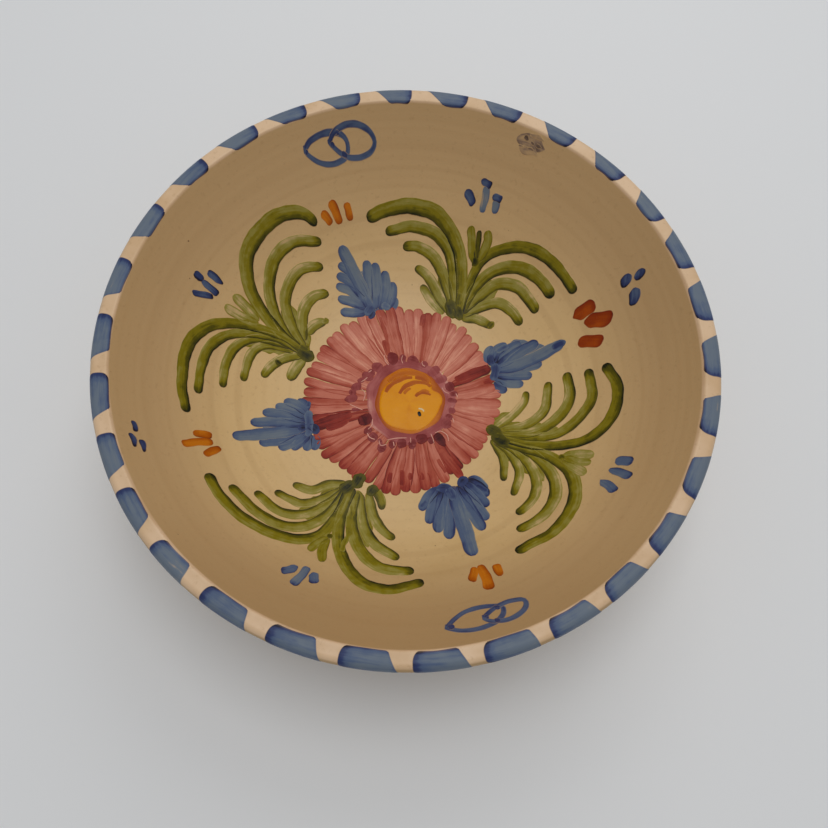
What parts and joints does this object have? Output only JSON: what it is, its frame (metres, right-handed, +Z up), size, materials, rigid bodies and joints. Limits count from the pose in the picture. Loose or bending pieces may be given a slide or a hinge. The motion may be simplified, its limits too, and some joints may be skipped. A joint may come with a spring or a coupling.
{
  "type": "painted ceramic dish",
  "caption": "Deep round earthenware plate on a foot ring, cream glazed, hand painted with a pink flower, green sprays, blue leaves and a dashed blue lip.",
  "frame": {"origin": "middle of the foot ring's tread, on the table", "axes": "+Z up along the dish's axis of throwing; -Y towards the viewer, +X to the viewer's right"},
  "size_m": [0.3006, 0.3004, 0.094],
  "materials": {
    "bare_clay": "matt, unglazed earthenware",
    "cream_glaze": "satin gloss glaze over cream slip",
    "blue_paint": "brushed cobalt blue under the glaze",
    "green_paint": "brushed olive green under the glaze",
    "pink_paint": "brushed brick pink under the glaze",
    "plum_paint": "brushed plum under the glaze",
    "yellow_paint": "thick yellow, glossy",
    "orange_paint": "thick orange, glossy",
    "rust_paint": "thick rust red, glossy"
  },
  "bodies": {
    "root": {"bowl_body": "bare_clay", "foot_ring": "bare_clay", "glaze_coat": "cream_glaze", "lip_strokes": "blue_paint", "flower_heart": "yellow_paint", "flower_ring": "plum_paint", "flower_petals": "pink_paint", "leaf_spray_left": "green_paint", "leaf_spray_top": "green_paint", "leaf_spray_bottom": "green_paint", "leaf_spray_right": "green_paint", "blue_leaf_left": "blue_paint", "blue_leaf_top": "blue_paint", "blue_leaf_bottom": "blue_paint", "blue_leaf_right": "blue_paint", "orange_ticks_left": "orange_paint", "orange_ticks_top": "orange_paint", "orange_ticks_bottom": "orange_paint", "orange_ticks_right": "rust_paint", "blue_ticks_left": "blue_paint", "blue_ticks_top": "blue_paint", "blue_ticks_bottom": "blue_paint", "blue_ticks_right": "blue_paint", "blue_dots_right": "blue_paint", "blue_dots_left": "blue_paint", "linked_rings_top": "blue_paint", "linked_rings_bottom": "blue_paint"}
  },
  "joints": []
}
